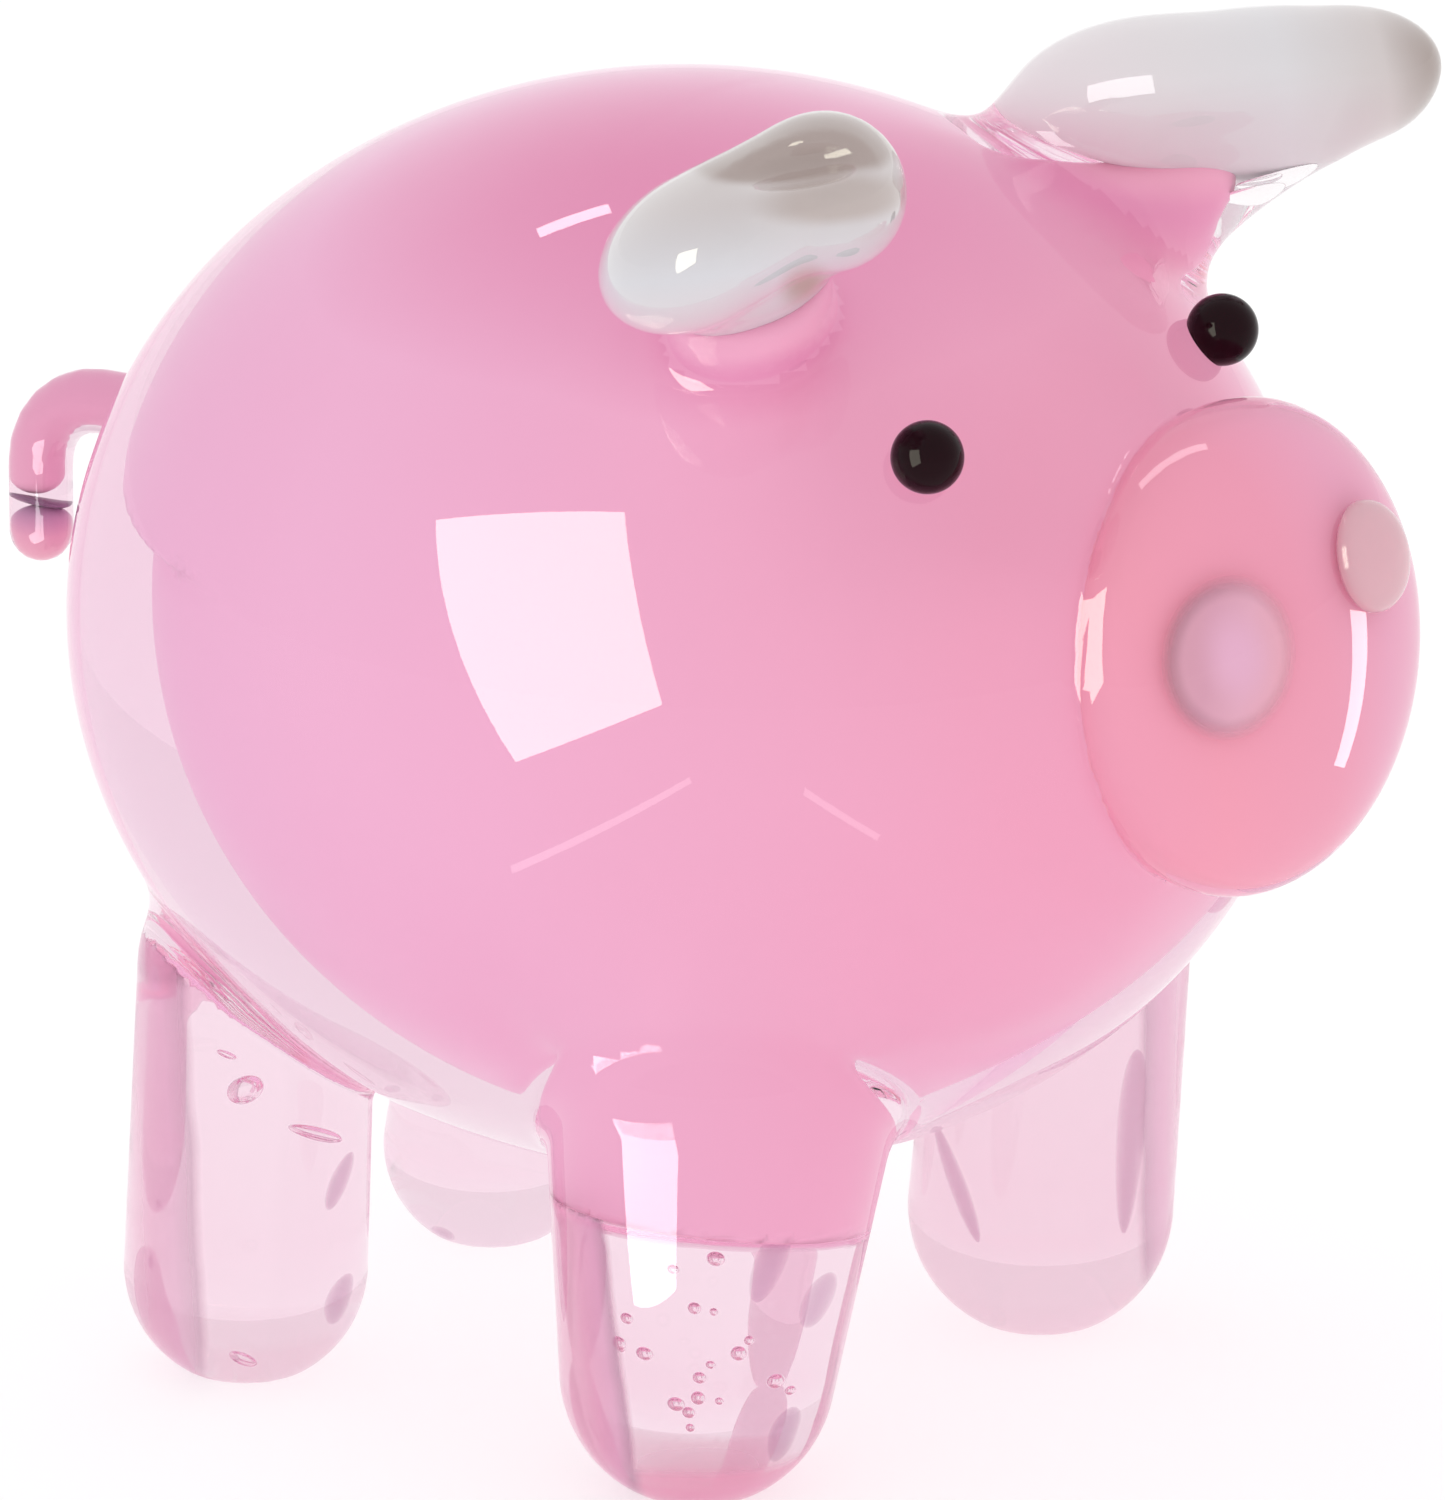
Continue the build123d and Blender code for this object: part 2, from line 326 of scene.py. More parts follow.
# Clear glass by its name, its tint and the tint of what it lets through: faintly rose in the body
# and legs, and all but colourless in the ears' thin skins
BODY_GLASS = ("clear_soda_glass", "#F4DBE7", "#FEFBFC")
SKIN_GLASS = ("clear_skin_glass", "#FDFAFB", WHITE)
POLISH_SWELL_WIDTH = 9.0
POLISH_SWELL_DEPTH = 0.05
GLASS_INDEX = 1.51
OPAL_INDEX = 1.5
LEG_SINK_SHARE = 0.16

FLOOR_RADIUS = 1.2
FLOOR_GLOW = 0.48
ROOM_LIGHT = 0.95
BOUNCES = 40
CLEAR_LAYERS = 24


def unit(vector):
    return vector / np.linalg.norm(vector)


def axes_from(across, along):
    """Rows of a right-handed frame whose third axis is along, and whose first leans to across."""
    z = unit(np.array(along, float))
    x = unit(np.array(across, float) - z * np.dot(across, z))
    return np.array([x, np.cross(z, x), z])


def view_axes():
    """Right, up and towards the camera, as the photograph is taken."""
    turn, rise = radians(CAMERA_AZIMUTH), radians(CAMERA_ELEVATION)
    towards = np.array([sin(turn) * cos(rise), -cos(turn) * cos(rise), sin(rise)])
    right = np.array([cos(turn), sin(turn), 0.0])
    return right, np.cross(towards, right), towards


def facing(lean=0.0):
    """Axes that face the camera, with the first drooping to the right by a lean."""
    right, up, towards = view_axes()
    return axes_from(right - up * lean, towards)


def in_body(place):
    """Place along the body's axes."""
    return np.array(place) @ BODY_AXES


def body_spot(angles):
    """Point on the body at an angle from the nose and an angle round from the top."""
    from_nose, round_top = (radians(angle) for angle in angles)
    girdle = LEFT * sin(round_top) + BACK * cos(round_top)
    return NOSE * (BODY_LENGTH / 2 * cos(from_nose)) + girdle * (BODY_GIRTH / 2 * sin(from_nose))


def snout_axes():
    """Frame of the snout, with its third axis out of the face."""
    pitch, yaw, roll = radians(SNOUT_PITCH), radians(SNOUT_YAW), radians(SNOUT_ROLL)
    face = np.array([-sin(yaw) * cos(pitch), -cos(yaw) * cos(pitch), sin(pitch)])
    return axes_from(LEFT * cos(roll) + np.cross(face, LEFT) * sin(roll), face)


# Forms as distance fields: each takes points and gives their distance to its surface,
# below zero inside

def ellipsoid(points, middle, axes, radii):
    radii = np.array(radii)
    local = (points - middle) @ axes.T
    near = np.sqrt(((local / radii) ** 2).sum(axis=1))
    steep = np.sqrt(((local / radii**2) ** 2).sum(axis=1))
    return near * (near - 1) / np.maximum(steep, TINY)


def round_cone(points, start, end, radii, across=LEFT, flatness=1.0):
    """Ball at each end with straight sides between, drawn wider across by its flatness."""
    start_radius, end_radius = radii
    local = (points - start) @ axes_from(across, end - start).T
    local[:, 0] /= flatness
    height = np.linalg.norm(end - start)
    slope = (start_radius - end_radius) / height
    side = sqrt(1 - slope**2)
    out, up = np.hypot(local[:, 0], local[:, 1]), local[:, 2]
    level = -slope * out + side * up
    below = np.hypot(out, up) - start_radius
    above = np.hypot(out, up - height) - end_radius
    between = side * out + slope * up - start_radius
    return np.where(level < 0, below, np.where(level > side * height, above, between))


def blended(one, other, radius):
    """Union of two fields with a melted fillet between them."""
    near = np.maximum(radius - np.abs(one - other), 0) / radius
    return np.minimum(one, other) - near**2 * radius / 4


def carved(one, other, radius):
    """One field with another cut out of it, with a melted edge."""
    return -blended(-one, other, radius)


def body_form(points):
    return ellipsoid(points, np.zeros(3), BODY_AXES, np.array([BODY_GIRTH, BODY_LENGTH, BODY_GIRTH]) / 2)


def snout_form(points):
    half = np.array([SNOUT_WIDTH, SNOUT_WIDTH, SNOUT_DEPTH]) / 2
    return ellipsoid(points, NOSE * SNOUT_REACH, snout_axes(), half)


def leg_ends(name):
    """Middle of a leg's round foot, middle of its crown, and the radii of both."""
    foot_width, crown_width, foot_shares, crown_shares = LEGS[name]
    half = np.array([BODY_GIRTH, BODY_LENGTH]) / 2
    tip = np.array([*(half * foot_shares), TABLE - FOOT_FLAT])
    crown = np.array([*(half * crown_shares), -CROWN_DEPTH])
    return tip + unit(crown - tip) * foot_width / 2, crown, (foot_width / 2, crown_width / 2)


def leg_form(name):
    ends = leg_ends(name)
    return lambda points: round_cone(points, *ends)


def ear_frame(name):
    """Root, middle and throat of an ear, and its axes."""
    shape = EARS[name]
    root = body_spot(shape["spot_angles"])

    def step(shares):
        ahead, out, up = shares
        return np.array([shape["side"] * out, -ahead, up])

    axes = axes_from(step(shape["lean_shares"]), step(shape["line_shares"]))
    middle = root + step(shape["middle_shares"]) * shape["stand"]
    throat = root + step(shape["throat_shares"]) * shape["stand"]
    return root, middle, throat, axes


def fold_axes():
    """Axes of the hollow that folds the right ear."""
    root, middle, throat, axes = ear_frame("ear_right")
    return axes_from(np.array(FOLD_ACROSS) @ axes, axes[2])


def ear_fold(points, gap):
    """Field of the hollow that folds the right ear, smaller all round by a gap."""
    root, middle, throat, axes = ear_frame("ear_right")
    place = middle + np.array(FOLD_PLACE) @ axes
    return ellipsoid(points, place, fold_axes(), np.array(FOLD_RADII) - gap)


def petal_form(name, points, under=0.0):
    """Petal of an ear, or of the opal that lies some way under its skin."""
    root, middle, throat, axes = ear_frame(name)
    lobes = [ellipsoid(points, middle + np.array(place) @ axes, axes, np.array(radii) - under)
             for place, radii in EARS[name]["lobes"]]
    petal = blended(blended(lobes[0], lobes[1], LOBE_MELT), lobes[2], LOBE_MELT)
    if name == "ear_left":
        return petal
    return carved(petal, ear_fold(points, EAR_SKIN - under), FOLD_MELT)


def ear_foot(name):
    """Where the neck of an ear stands on the body, a little further up than its root."""
    right, up, towards = view_axes()
    return ear_frame(name)[0] + up * EARS[name]["foot_rise"]


def ear_form(name):
    root, middle, throat, axes = ear_frame(name)
    start = ear_foot(name) - unit(root) * EARS[name]["neck_depth"]
    radii = [width / 2 for width in EARS[name]["neck_widths"]]

    def form(points):
        neck = round_cone(points, start, throat, radii, axes[0], EAR_NECK_FLAT_SHARE)
        return blended(petal_form(name, points), neck, EAR_MELTS[name])

    return form


def tail_points(steps=7):
    """Centre line of the tail: back out of the body, round the bend and down."""
    straight = TAIL_REACH - TAIL_BEND
    bend = [np.array([0, straight + TAIL_BEND * sin(angle), -TAIL_BEND * (1 - cos(angle))])
            for angle in np.linspace(0, tau / 4, steps)]
    start, end = np.array([0, -TAIL_DEPTH, 0]), np.array([0, TAIL_REACH, -TAIL_DROP])
    return [body_spot(TAIL_ANGLES) + step for step in (start, *bend, end)]


def rod(points, line, radius):
    """Round rod along a line of points."""
    return np.min([round_cone(points, start, end, (radius, radius))
                   for start, end in zip(line, line[1:])], axis=0)


def tail_form(points):
    return rod(points, tail_points(), TAIL_THICKNESS / 2)


def glass_forms():
    """Name, field and fillet of each form that the clear glass takes."""
    forms = [("body_casing", body_form, 0), ("snout_casing", snout_form, SNOUT_MELT)]
    forms += [(name, leg_form(name), LEG_MELT) for name in LEGS]
    forms += [(name, ear_form(name), EAR_FOOT_MELTS[name]) for name in EARS]
    return forms + [("tail", tail_form, TAIL_MELT)]


GLASS_FORMS = glass_forms()


def glass(points):
    """The whole clear skin as one field, cut flat by the table."""
    field = body_form(points)
    for name, form, melt in GLASS_FORMS[1:]:
        field = blended(field, form(points), melt)
    return carved(field, points[:, 2] - TABLE, FOOT_MELT)


def core_form(points):
    """Rose core, swollen towards the upper tail side where more rose glass was laid on."""
    half = np.array([CORE_GIRTH, CORE_LENGTH, CORE_GIRTH]) / 2
    core = ellipsoid(points, in_body(CORE_PLACE), BODY_AXES, half - CORE_GAP)
    swell = ellipsoid(points, in_body(SWELL_PLACE), BODY_AXES, SWELL_RADII)
    elsewhere = np.maximum(SWELL_FOOT - points @ BACK, points @ NOSE - SWELL_FRONT)
    return blended(core, carved(swell, -elsewhere, SWELL_EDGE_MELT), SWELL_MELT)


def snout_lens_form(points):
    return ellipsoid(points, NOSE * (SNOUT_REACH + LENS_PROUD), snout_axes(), LENS_RADII)


def snout_column(points):
    """Rose glass between the core and the snout, which hides the weld."""
    return round_cone(points, NOSE * WELD_START, NOSE * (SNOUT_REACH - WELD_STOP), WELD_RADII)


def blush_end():
    """Where the rose glass in the front right leg ends, and the way down from that flat end."""
    foot, crown, radii = leg_ends("leg_front_right")
    right, up, towards = view_axes()
    level = crown + (foot - crown) * (BLUSH_END - crown[2]) / (foot[2] - crown[2])
    away = unit(np.array([-towards[0], -towards[1], BLUSH_AWAY_SLOPE]))
    square = np.cross(unit(right - UPRIGHT * BLUSH_SIDE_SLOPE), away)
    return level, -square * np.sign(square[2])


def under_blush(points):
    """Field of all that lies below the flat end of the rose glass in the front right leg."""
    level, down = blush_end()
    return (level - points) @ down


def leg_column(points):
    """Rose glass drawn down into the crown of the front right leg."""
    level, down = blush_end()
    foot, crown, radii = leg_ends("leg_front_right")
    return round_cone(points, BLUSH_START, level * 2 - crown, BLUSH_RADII)


def ear_column(name):
    """Rose glass drawn up into the neck of an ear, under its petal."""
    root, middle, throat, axes = ear_frame(name)
    right, up, towards = view_axes()
    share, aside = EAR_BLUSH_ENDS[name]
    foot = ear_foot(name)
    start, end = foot - unit(root) * EAR_BLUSH_DEPTH, foot + (throat - foot) * share + right * aside
    return lambda points: round_cone(points, start, end, EAR_BLUSH_RADII)


def rose_forms():
    """Name, field and CAD node of each part of the rose glass, which is all one mass."""
    forms = [("body_core_rose", core_form, ["body_core"]),
             ("snout_lens_rose", snout_lens_form, ["snout_lens"]),
             ("snout_rose_weld", snout_column, []),
             ("leg_front_right_blush", leg_column, [])]
    return forms + [(name + "_blush", ear_column(name), []) for name in EARS]


def rose(points):
    """All the rose glass as one field, cut off flat in the front right leg."""
    core, lens, *columns = [form for name, form, nodes in rose_forms()]
    field = core(points)
    for column in columns:
        field = blended(field, column(points), ROSE_MELT)
    return carved(blended(field, lens(points), LENS_MELT), under_blush(points), BLUSH_EDGE_MELT)


def slope_of(field, points, reach=0.01):
    """Gradient of a field at points."""
    steps = np.eye(3) * reach
    return np.stack([(field(points + step) - field(points - step)) / (2 * reach) for step in steps], axis=1)


def outward(field, points):
    """Directions square to a field's surface."""
    slope = slope_of(field, points)
    return slope / np.linalg.norm(slope, axis=1)[:, None]


def settled(field, points, rounds=4):
    """Points moved onto the surface of a field."""
    for _ in range(rounds):
        slope = slope_of(field, points)
        points = points - slope * (field(points) / np.maximum((slope**2).sum(axis=1), TINY))[:, None]
    return points


def skinned(field, low, high, grain):
    """Quad mesh over a field: one point in each cell that the surface crosses."""
    counts = np.ceil((high - low) / grain).astype(int) + 1
    lines = [low[axis] + grain * np.arange(counts[axis]) for axis in range(3)]
    values = np.empty(counts)
    for index, x in enumerate(lines[0]):
        sheet = np.stack(np.meshgrid([x], lines[1], lines[2], indexing="ij"), axis=-1)
        values[index] = field(sheet.reshape(-1, 3)).reshape(counts[1:])
    inside = values < 0
    cell_counts = counts - 1
    sums = np.zeros((np.prod(cell_counts), 3))
    hits = np.zeros(np.prod(cell_counts))
    quads = []
    for axis in range(3):
        first = [slice(None)] * 3
        second = [slice(None)] * 3
        first[axis], second[axis] = slice(None, -1), slice(1, None)
        crossing = inside[tuple(first)] != inside[tuple(second)]
        place = np.argwhere(crossing)
        start, end = values[tuple(first)][crossing], values[tuple(second)][crossing]
        point = place.astype(float)
        point[:, axis] += start / (start - end)
        sides = [other for other in range(3) if other != axis]
        ring = []
        for back in ((1, 1), (0, 1), (0, 0), (1, 0)):
            cell = place.copy()
            cell[:, sides[0]] -= back[0]
            cell[:, sides[1]] -= back[1]
            flat = np.ravel_multi_index(cell.T, cell_counts)
            ring.append(flat)
            np.add.at(sums, flat, point)
            np.add.at(hits, flat, 1)
        ring = np.stack(ring, axis=1)
        leaving = (start < 0) if axis != 1 else (start > 0)
        quads.append(np.where(leaving[:, None], ring, ring[:, ::-1]))
    used = np.flatnonzero(hits)
    number = np.full(len(hits), -1)
    number[used] = np.arange(len(used))
    points = low + grain * sums[used] / hits[used][:, None]
    return settled(field, points), number[np.concatenate(quads)]


def parted(field, low, high, forms):
    """Points, faces and normals of a mesh over a field, parted by the form each face is nearest to."""
    points, faces = skinned(field, low, high, MESH_GRAIN)
    normals = outward(field, points)
    middles = points[faces].mean(axis=1)
    nearest = np.argmin([form(middles) for form in forms], axis=0)
    for index in range(len(forms)):
        used, own = np.unique(faces[nearest == index], return_inverse=True)
        yield points[used], own.reshape(-1, 4).tolist(), normals[used]


def piece(name, points, faces, normals, material, slot, *nodes):
    """Mesh object in metres in the row's frame, smooth, standing for CAD nodes."""
    mesh = bpy.data.meshes.new(name)
    mesh.from_pydata(((points + BODY_MIDDLE) * MM).tolist(), [], faces)
    mesh.materials.append(material)
    mesh.shade_smooth()
    if normals is not None:
        mesh.normals_split_custom_set_from_vertices(normals.tolist())
    shape = bpy.data.objects.new(name, mesh)
    bpy.context.scene.collection.objects.link(shape)
    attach(shape, "root")
    if nodes:
        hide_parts(*nodes)


def formed(name, field, middle, reach, grain, material, slot, *nodes):
    """Mesh over a field within reach of its middle."""
    points, faces = skinned(field, middle - reach, middle + reach, grain)
    piece(name, points, faces.tolist(), outward(field, points), material, slot, *nodes)


def ball(rings):
    """Points and faces of a ball with radius 1, with its poles on the third axis."""
    columns = rings * 2
    down = np.linspace(0, tau / 2, rings + 1)[1:-1]
    down_grid, round_grid = np.meshgrid(down, np.arange(columns) * tau / columns, indexing="ij")
    girdles = np.stack([np.sin(down_grid) * np.cos(round_grid), np.sin(down_grid) * np.sin(round_grid),
                        np.cos(down_grid)], axis=-1).reshape(-1, 3)
    row = np.arange(columns)
    step = (row + 1) % columns
    quads = [np.stack([base + row, base + columns + row, base + columns + step, base + step], axis=1)
             for base in range(0, (rings - 2) * columns, columns)]
    top, foot, last = len(girdles), len(girdles) + 1, (rings - 2) * columns
    tips = [np.stack([np.full(columns, top), row, step], axis=1),
            np.stack([np.full(columns, foot), last + step, last + row], axis=1)]
    points = np.concatenate([girdles, [[0, 0, 1], [0, 0, -1]]])
    return points, np.concatenate(quads), np.concatenate(tips)


def ovals(name, shapes, rings, material, slot, *nodes):
    """Balls drawn out along three axes, as one mesh, each by its middle, axes and radii."""
    points, quads, tips = ball(rings)
    places = [(points * np.array(radii)) @ axes + middle for middle, axes, radii in shapes]
    faces = []
    for index in range(len(shapes)):
        faces += (quads + len(points) * index).tolist() + (tips + len(points) * index).tolist()
    piece(name, np.concatenate(places), faces, None, material, slot, *nodes)


def title(name):
    """Name of the clear glass on a form: a thin skin on an ear, solid glass elsewhere."""
    return name + "_skin" if name in EARS else name + "_glass"


def clear_glass_pieces(material, ear_material):
    """The clear skin, parted along the welds, so that no wall is left inside the glass."""
    low = np.array(cad_box[0]) / MM - BODY_MIDDLE - MESH_MARGIN
    high = np.array(cad_box[1]) / MM - BODY_MIDDLE + MESH_MARGIN
    meshes = parted(glass, low, high, [form for name, form, melt in GLASS_FORMS])
    for (name, form, melt), mesh in zip(GLASS_FORMS, meshes):
        if name in EARS:
            piece(title(name), *mesh, ear_material, "clear_glass", name + "_neck")
        else:
            piece(title(name), *mesh, material, "clear_glass", name)


def rose_pieces(material, snout_material):
    """The rose mass as one surface, parted like the clear glass."""
    forms = rose_forms()
    low, high = (np.array(corner) for corner in ROSE_BOX)
    meshes = parted(rose, low, high, [form for name, form, nodes in forms])
    for (name, form, nodes), (points, faces, normals) in zip(forms, meshes):
        look = snout_material if name == "snout_lens_rose" else material
        if faces:
            piece(name, points, faces, normals, look, "rose_opal", *nodes)


def rose_veil(material):
    """Breath of lilac glass that trails off the core towards the tail."""
    veil = (in_body(VEIL_PLACE), BODY_AXES, VEIL_RADII)
    ovals("body_core_veil", [veil], VEIL_RINGS, material, "rose_opal")


def leg_tint(name, material):
    """Skin of rose glass just under the surface of a leg, dense on one side only."""
    form = leg_form(name)
    foot, crown, radii = leg_ends(name)

    def skin(points):
        field = np.maximum(form(points) + TINT_DEPTH, TINT_OFF_BODY - body_form(points))
        if name == "leg_front_right":
            field = np.maximum(field, under_blush(points))
        return np.maximum(field, TABLE + TINT_RISE - points[:, 2])

    middle = (foot + crown) / 2 - UPRIGHT * TINT_DROP
    formed(name + "_tint", skin, middle, TINT_REACH, TINT_GRAIN, material, "rose_glass")


def ear_opal(name, material):
    formed(name + "_opal", lambda points: petal_form(name, points, EAR_SKIN), ear_frame(name)[1],
           np.full(3, EAR_REACH), EAR_GRAIN, material, "white_opal", name)


def eye_bead(name, material):
    """Bead pressed a little into the body."""
    spot = body_spot(EYES[name])
    middle = spot + unit(spot) * (EYE_WIDTH / 2 - EYE_SUNK_SHARE * EYE_WIDTH)
    bead = (middle, np.eye(3), [EYE_WIDTH / 2] * 3)
    ovals(name + "_bead", [bead], EYE_RINGS, material, "black_glass", name)


def nostril_seat(side):
    """Where a nostril sits on the face of the snout, and the axes square to it."""
    off = np.array([side * NOSTRIL_SPREAD / 2, NOSTRIL_RISE, 0])
    half = np.array([SNOUT_WIDTH, SNOUT_WIDTH, SNOUT_DEPTH]) / 2
    off[2] = half[2] * sqrt(1 - (off[0] ** 2 + off[1] ** 2) / half[0] ** 2)
    axes = snout_axes()
    return NOSE * SNOUT_REACH + off @ axes, axes_from([1, 0, 0], off / half**2) @ axes


def nostrils(dish, bead):
    """The right one lies as a flat disc just under the skin, with painted shade and light that make it look
    dished; the left one is a proud bead.
    """
    middle, axes = nostril_seat(-1)
    disc = (middle - axes[2] * DISH_SUNK + axes[0] * DISH_SHIFT, axes, DISH_RADII)
    ovals("nostril_right_dish", [disc], NOSTRIL_RINGS, dish, "pale_opal", "nostril_right")
    ball_on_skin = (*nostril_seat(1), BEAD_RADII)
    ovals("nostril_left_bead", [ball_on_skin], NOSTRIL_RINGS, bead, "pale_opal", "nostril_left")


def tail_rose(rod_rose, mauve, end_rose):
    """Rose rod in the clear tail, then a mauve seam where its round end was added."""
    line = tail_points()
    end = line[-1]
    middle = (line[0] + end) / 2
    line[-1] = end + UPRIGHT * TAIL_ROSE_STOP
    formed("tail_rose", lambda points: rod(points - TAIL_ROSE_SHIFT, line, TAIL_ROSE_RADIUS), middle,
           np.full(3, TAIL_ROSE_REACH), TAIL_ROSE_GRAIN, rod_rose, "rose_glass")
    along, square = np.array([SEAM_ALONG, SEAM_SQUARE]) @ view_axes()
    seam = (end + UPRIGHT * SEAM_RISE, axes_from(along, square), SEAM_RADII)
    ovals("tail_seam", [seam], TAIL_RINGS, mauve, "rose_glass")
    tip = (end + UPRIGHT * TAIL_END_RISE, np.eye(3), TAIL_END_RADII)
    ovals("tail_end_rose", [tip], TAIL_RINGS, end_rose, "rose_glass")


def in_millimetres(places, middle):
    """How far right of and above a middle places of the photograph are."""
    return (np.array(places, float) - middle) * [1, -1] / PIXELS_PER_MM


def in_view(place, depth):
    """Point that shows at a place in the photograph, by how far it is towards the camera."""
    across, height = in_millimetres(place, BODY_SHOWN_AT)
    return np.array([across, height, depth]) @ np.array(view_axes())


def in_leg(name, place, depth):
    """Point in a leg that shows at a place in the photograph, through the bent glass."""
    foot, crown, (foot_radius, crown_radius) = leg_ends(name)
    right, up, towards = view_axes()
    across, height = in_millimetres(place, BODY_SHOWN_AT)
    climb = (height + LEG_SINK_SHARE * foot_radius - foot @ up) / up[2]
    axis = foot + (crown - foot) * climb / (crown[2] - foot[2])
    toward = unit(np.array([towards[0], towards[1], 0]))
    return axis + right * (across - axis @ right) / GLASS_INDEX + toward * depth


def wisps(material):
    """Thin leaves of mauve glass that face the camera."""
    leaves = []
    for name, place, (wide, high), lean in WISPS:
        radii = np.array([wide, high, wide]) / PIXELS_PER_MM
        leaves.append((in_leg(name, place, WISP_DEPTH), facing(lean), radii))
    ovals("leg_wisps", leaves, SEED_RINGS, material, "rose_glass")


def seeds(material):
    """Round seeds of air, whose sizes and depths differ, and the drawn-out ones and folds."""
    round_ones = []
    for index, place in enumerate(SEEDS):
        radius = SEED_RADIUS + SEED_SPREAD * sin(SEED_SIZE_TURN * index)
        middle = in_leg("leg_front_right", place, SEED_DEPTH * sin(SEED_DEPTH_TURN * index))
        round_ones.append((middle, facing(), (radius * SEED_NARROW_SHARE, radius, radius)))
    ovals("leg_front_right_seeds", round_ones, SEED_RINGS, material, "clear_glass")
    long_ones = [(in_leg("leg_rear_right", place, depth), facing(REAR_SEED_LEAN), radii)
                 for place, depth, radii in REAR_SEEDS]
    ovals("leg_rear_right_seeds", long_ones, SEED_RINGS, material, "clear_glass")
    folds = [(in_view(place, depth), facing(EAR_FOLD_LEAN), radii) for place, depth, radii in EAR_FOLDS]
    ovals("ear_left_folds", folds, SEED_RINGS, material, "clear_glass")


def linear(hex_colour):
    """sRGB hex as linear red, green, blue and alpha."""
    parts = [int(hex_colour[start:start + 2], 16) / 255 for start in (1, 3, 5)]
    return (*[part / 12.92 if part <= 0.04045 else ((part + 0.055) / 1.055) ** 2.4 for part in parts], 1.0)


def add(material, kind, settings=(), links=()):
    """Node in a material with its settings, and its inputs linked by name or number."""
    node = material.node_tree.nodes.new(kind)
    for key, value in dict(settings).items():
        if isinstance(key, str) and hasattr(node, key):
            setattr(node, key, value)
        else:
            node.inputs[key].default_value = value
    for key, output in dict(links).items():
        material.node_tree.links.new(output, node.inputs[key])
    return node


def new_material(name):
    material = bpy.data.materials.new(name)
    material.use_nodes = True
    material.node_tree.nodes.clear()
    return material


def finish(material, shader):
    add(material, "ShaderNodeOutputMaterial", (), {"Surface": shader})
    return material


def graded(material, direction, span, colours, drift=0.12, grain=6.0):
    """Colour or share that runs along a direction, between two places, and drifts a little."""
    start, end = ((place + BODY_MIDDLE @ direction) * MM for place in span)
    place = add(material, "ShaderNodeTexCoord").outputs["Object"]
    along = add(material, "ShaderNodeVectorMath", {"operation": "DOT_PRODUCT", 1: direction.tolist()},
                {0: place})
    noise = add(material, "ShaderNodeTexNoise", {"Scale": 1 / (grain * MM), "Detail": 3.0}, {"Vector": place})
    wander = add(material, "ShaderNodeMath", {"operation": "MULTIPLY_ADD", 1: drift * (end - start)},
                 {0: noise.outputs["Fac"], 2: along.outputs["Value"]})
    half = drift * (end - start) / 2
    share = add(material, "ShaderNodeMapRange", {"From Min": start + half, "From Max": end + half},
                {"Value": wander.outputs[0]})
    ramp = add(material, "ShaderNodeValToRGB", (), {"Fac": share.outputs[0]})
    stops = ramp.color_ramp.elements
    for position, colour in colours:
        stop = {0.0: stops[0], 1.0: stops[-1]}.get(position) or stops.new(position)
        stop.color = linear(colour) if isinstance(colour, str) else (colour, colour, colour, 1.0)
    return ramp.outputs["Color"]


def blot(material, middle, axes, radii, edge):
    """Share that is 1 within an oval column along the third axis and fades out over its edge."""
    place = add(material, "ShaderNodeTexCoord")
    centre = ((middle + BODY_MIDDLE) * MM).tolist()
    off = add(material, "ShaderNodeVectorMath", {"operation": "SUBTRACT", 1: centre},
              {0: place.outputs["Object"]})
    sides = [add(material, "ShaderNodeVectorMath",
                 {"operation": "DOT_PRODUCT", 1: (axis / (radius * MM)).tolist()}, {0: off.outputs[0]})
             for axis, radius in zip(axes, radii)]
    flat = add(material, "ShaderNodeCombineXYZ", (),
               {"X": sides[0].outputs["Value"], "Y": sides[1].outputs["Value"]})
    far = add(material, "ShaderNodeVectorMath", {"operation": "LENGTH"}, {0: flat.outputs[0]})
    share = add(material, "ShaderNodeMapRange",
                {"interpolation_type": "SMOOTHSTEP", "From Min": 1 + edge, "From Max": 1 - edge},
                {"Value": far.outputs["Value"]})
    return share.outputs[0]


def laid_over(material, share, under, over):
    """A colour laid over another by a share."""
    mix = add(material, "ShaderNodeMix", {"data_type": "RGBA", 7: linear(over)}, {0: share, 6: under})
    return mix.outputs[2]


def let_through(material, surface, share):
    """Surface that hides what is behind it by a share."""
    clear = add(material, "ShaderNodeBsdfTransparent")
    mix = add(material, "ShaderNodeMixShader", (), {0: share, 1: clear.outputs[0], 2: surface.outputs[0]})
    return mix.outputs[0]


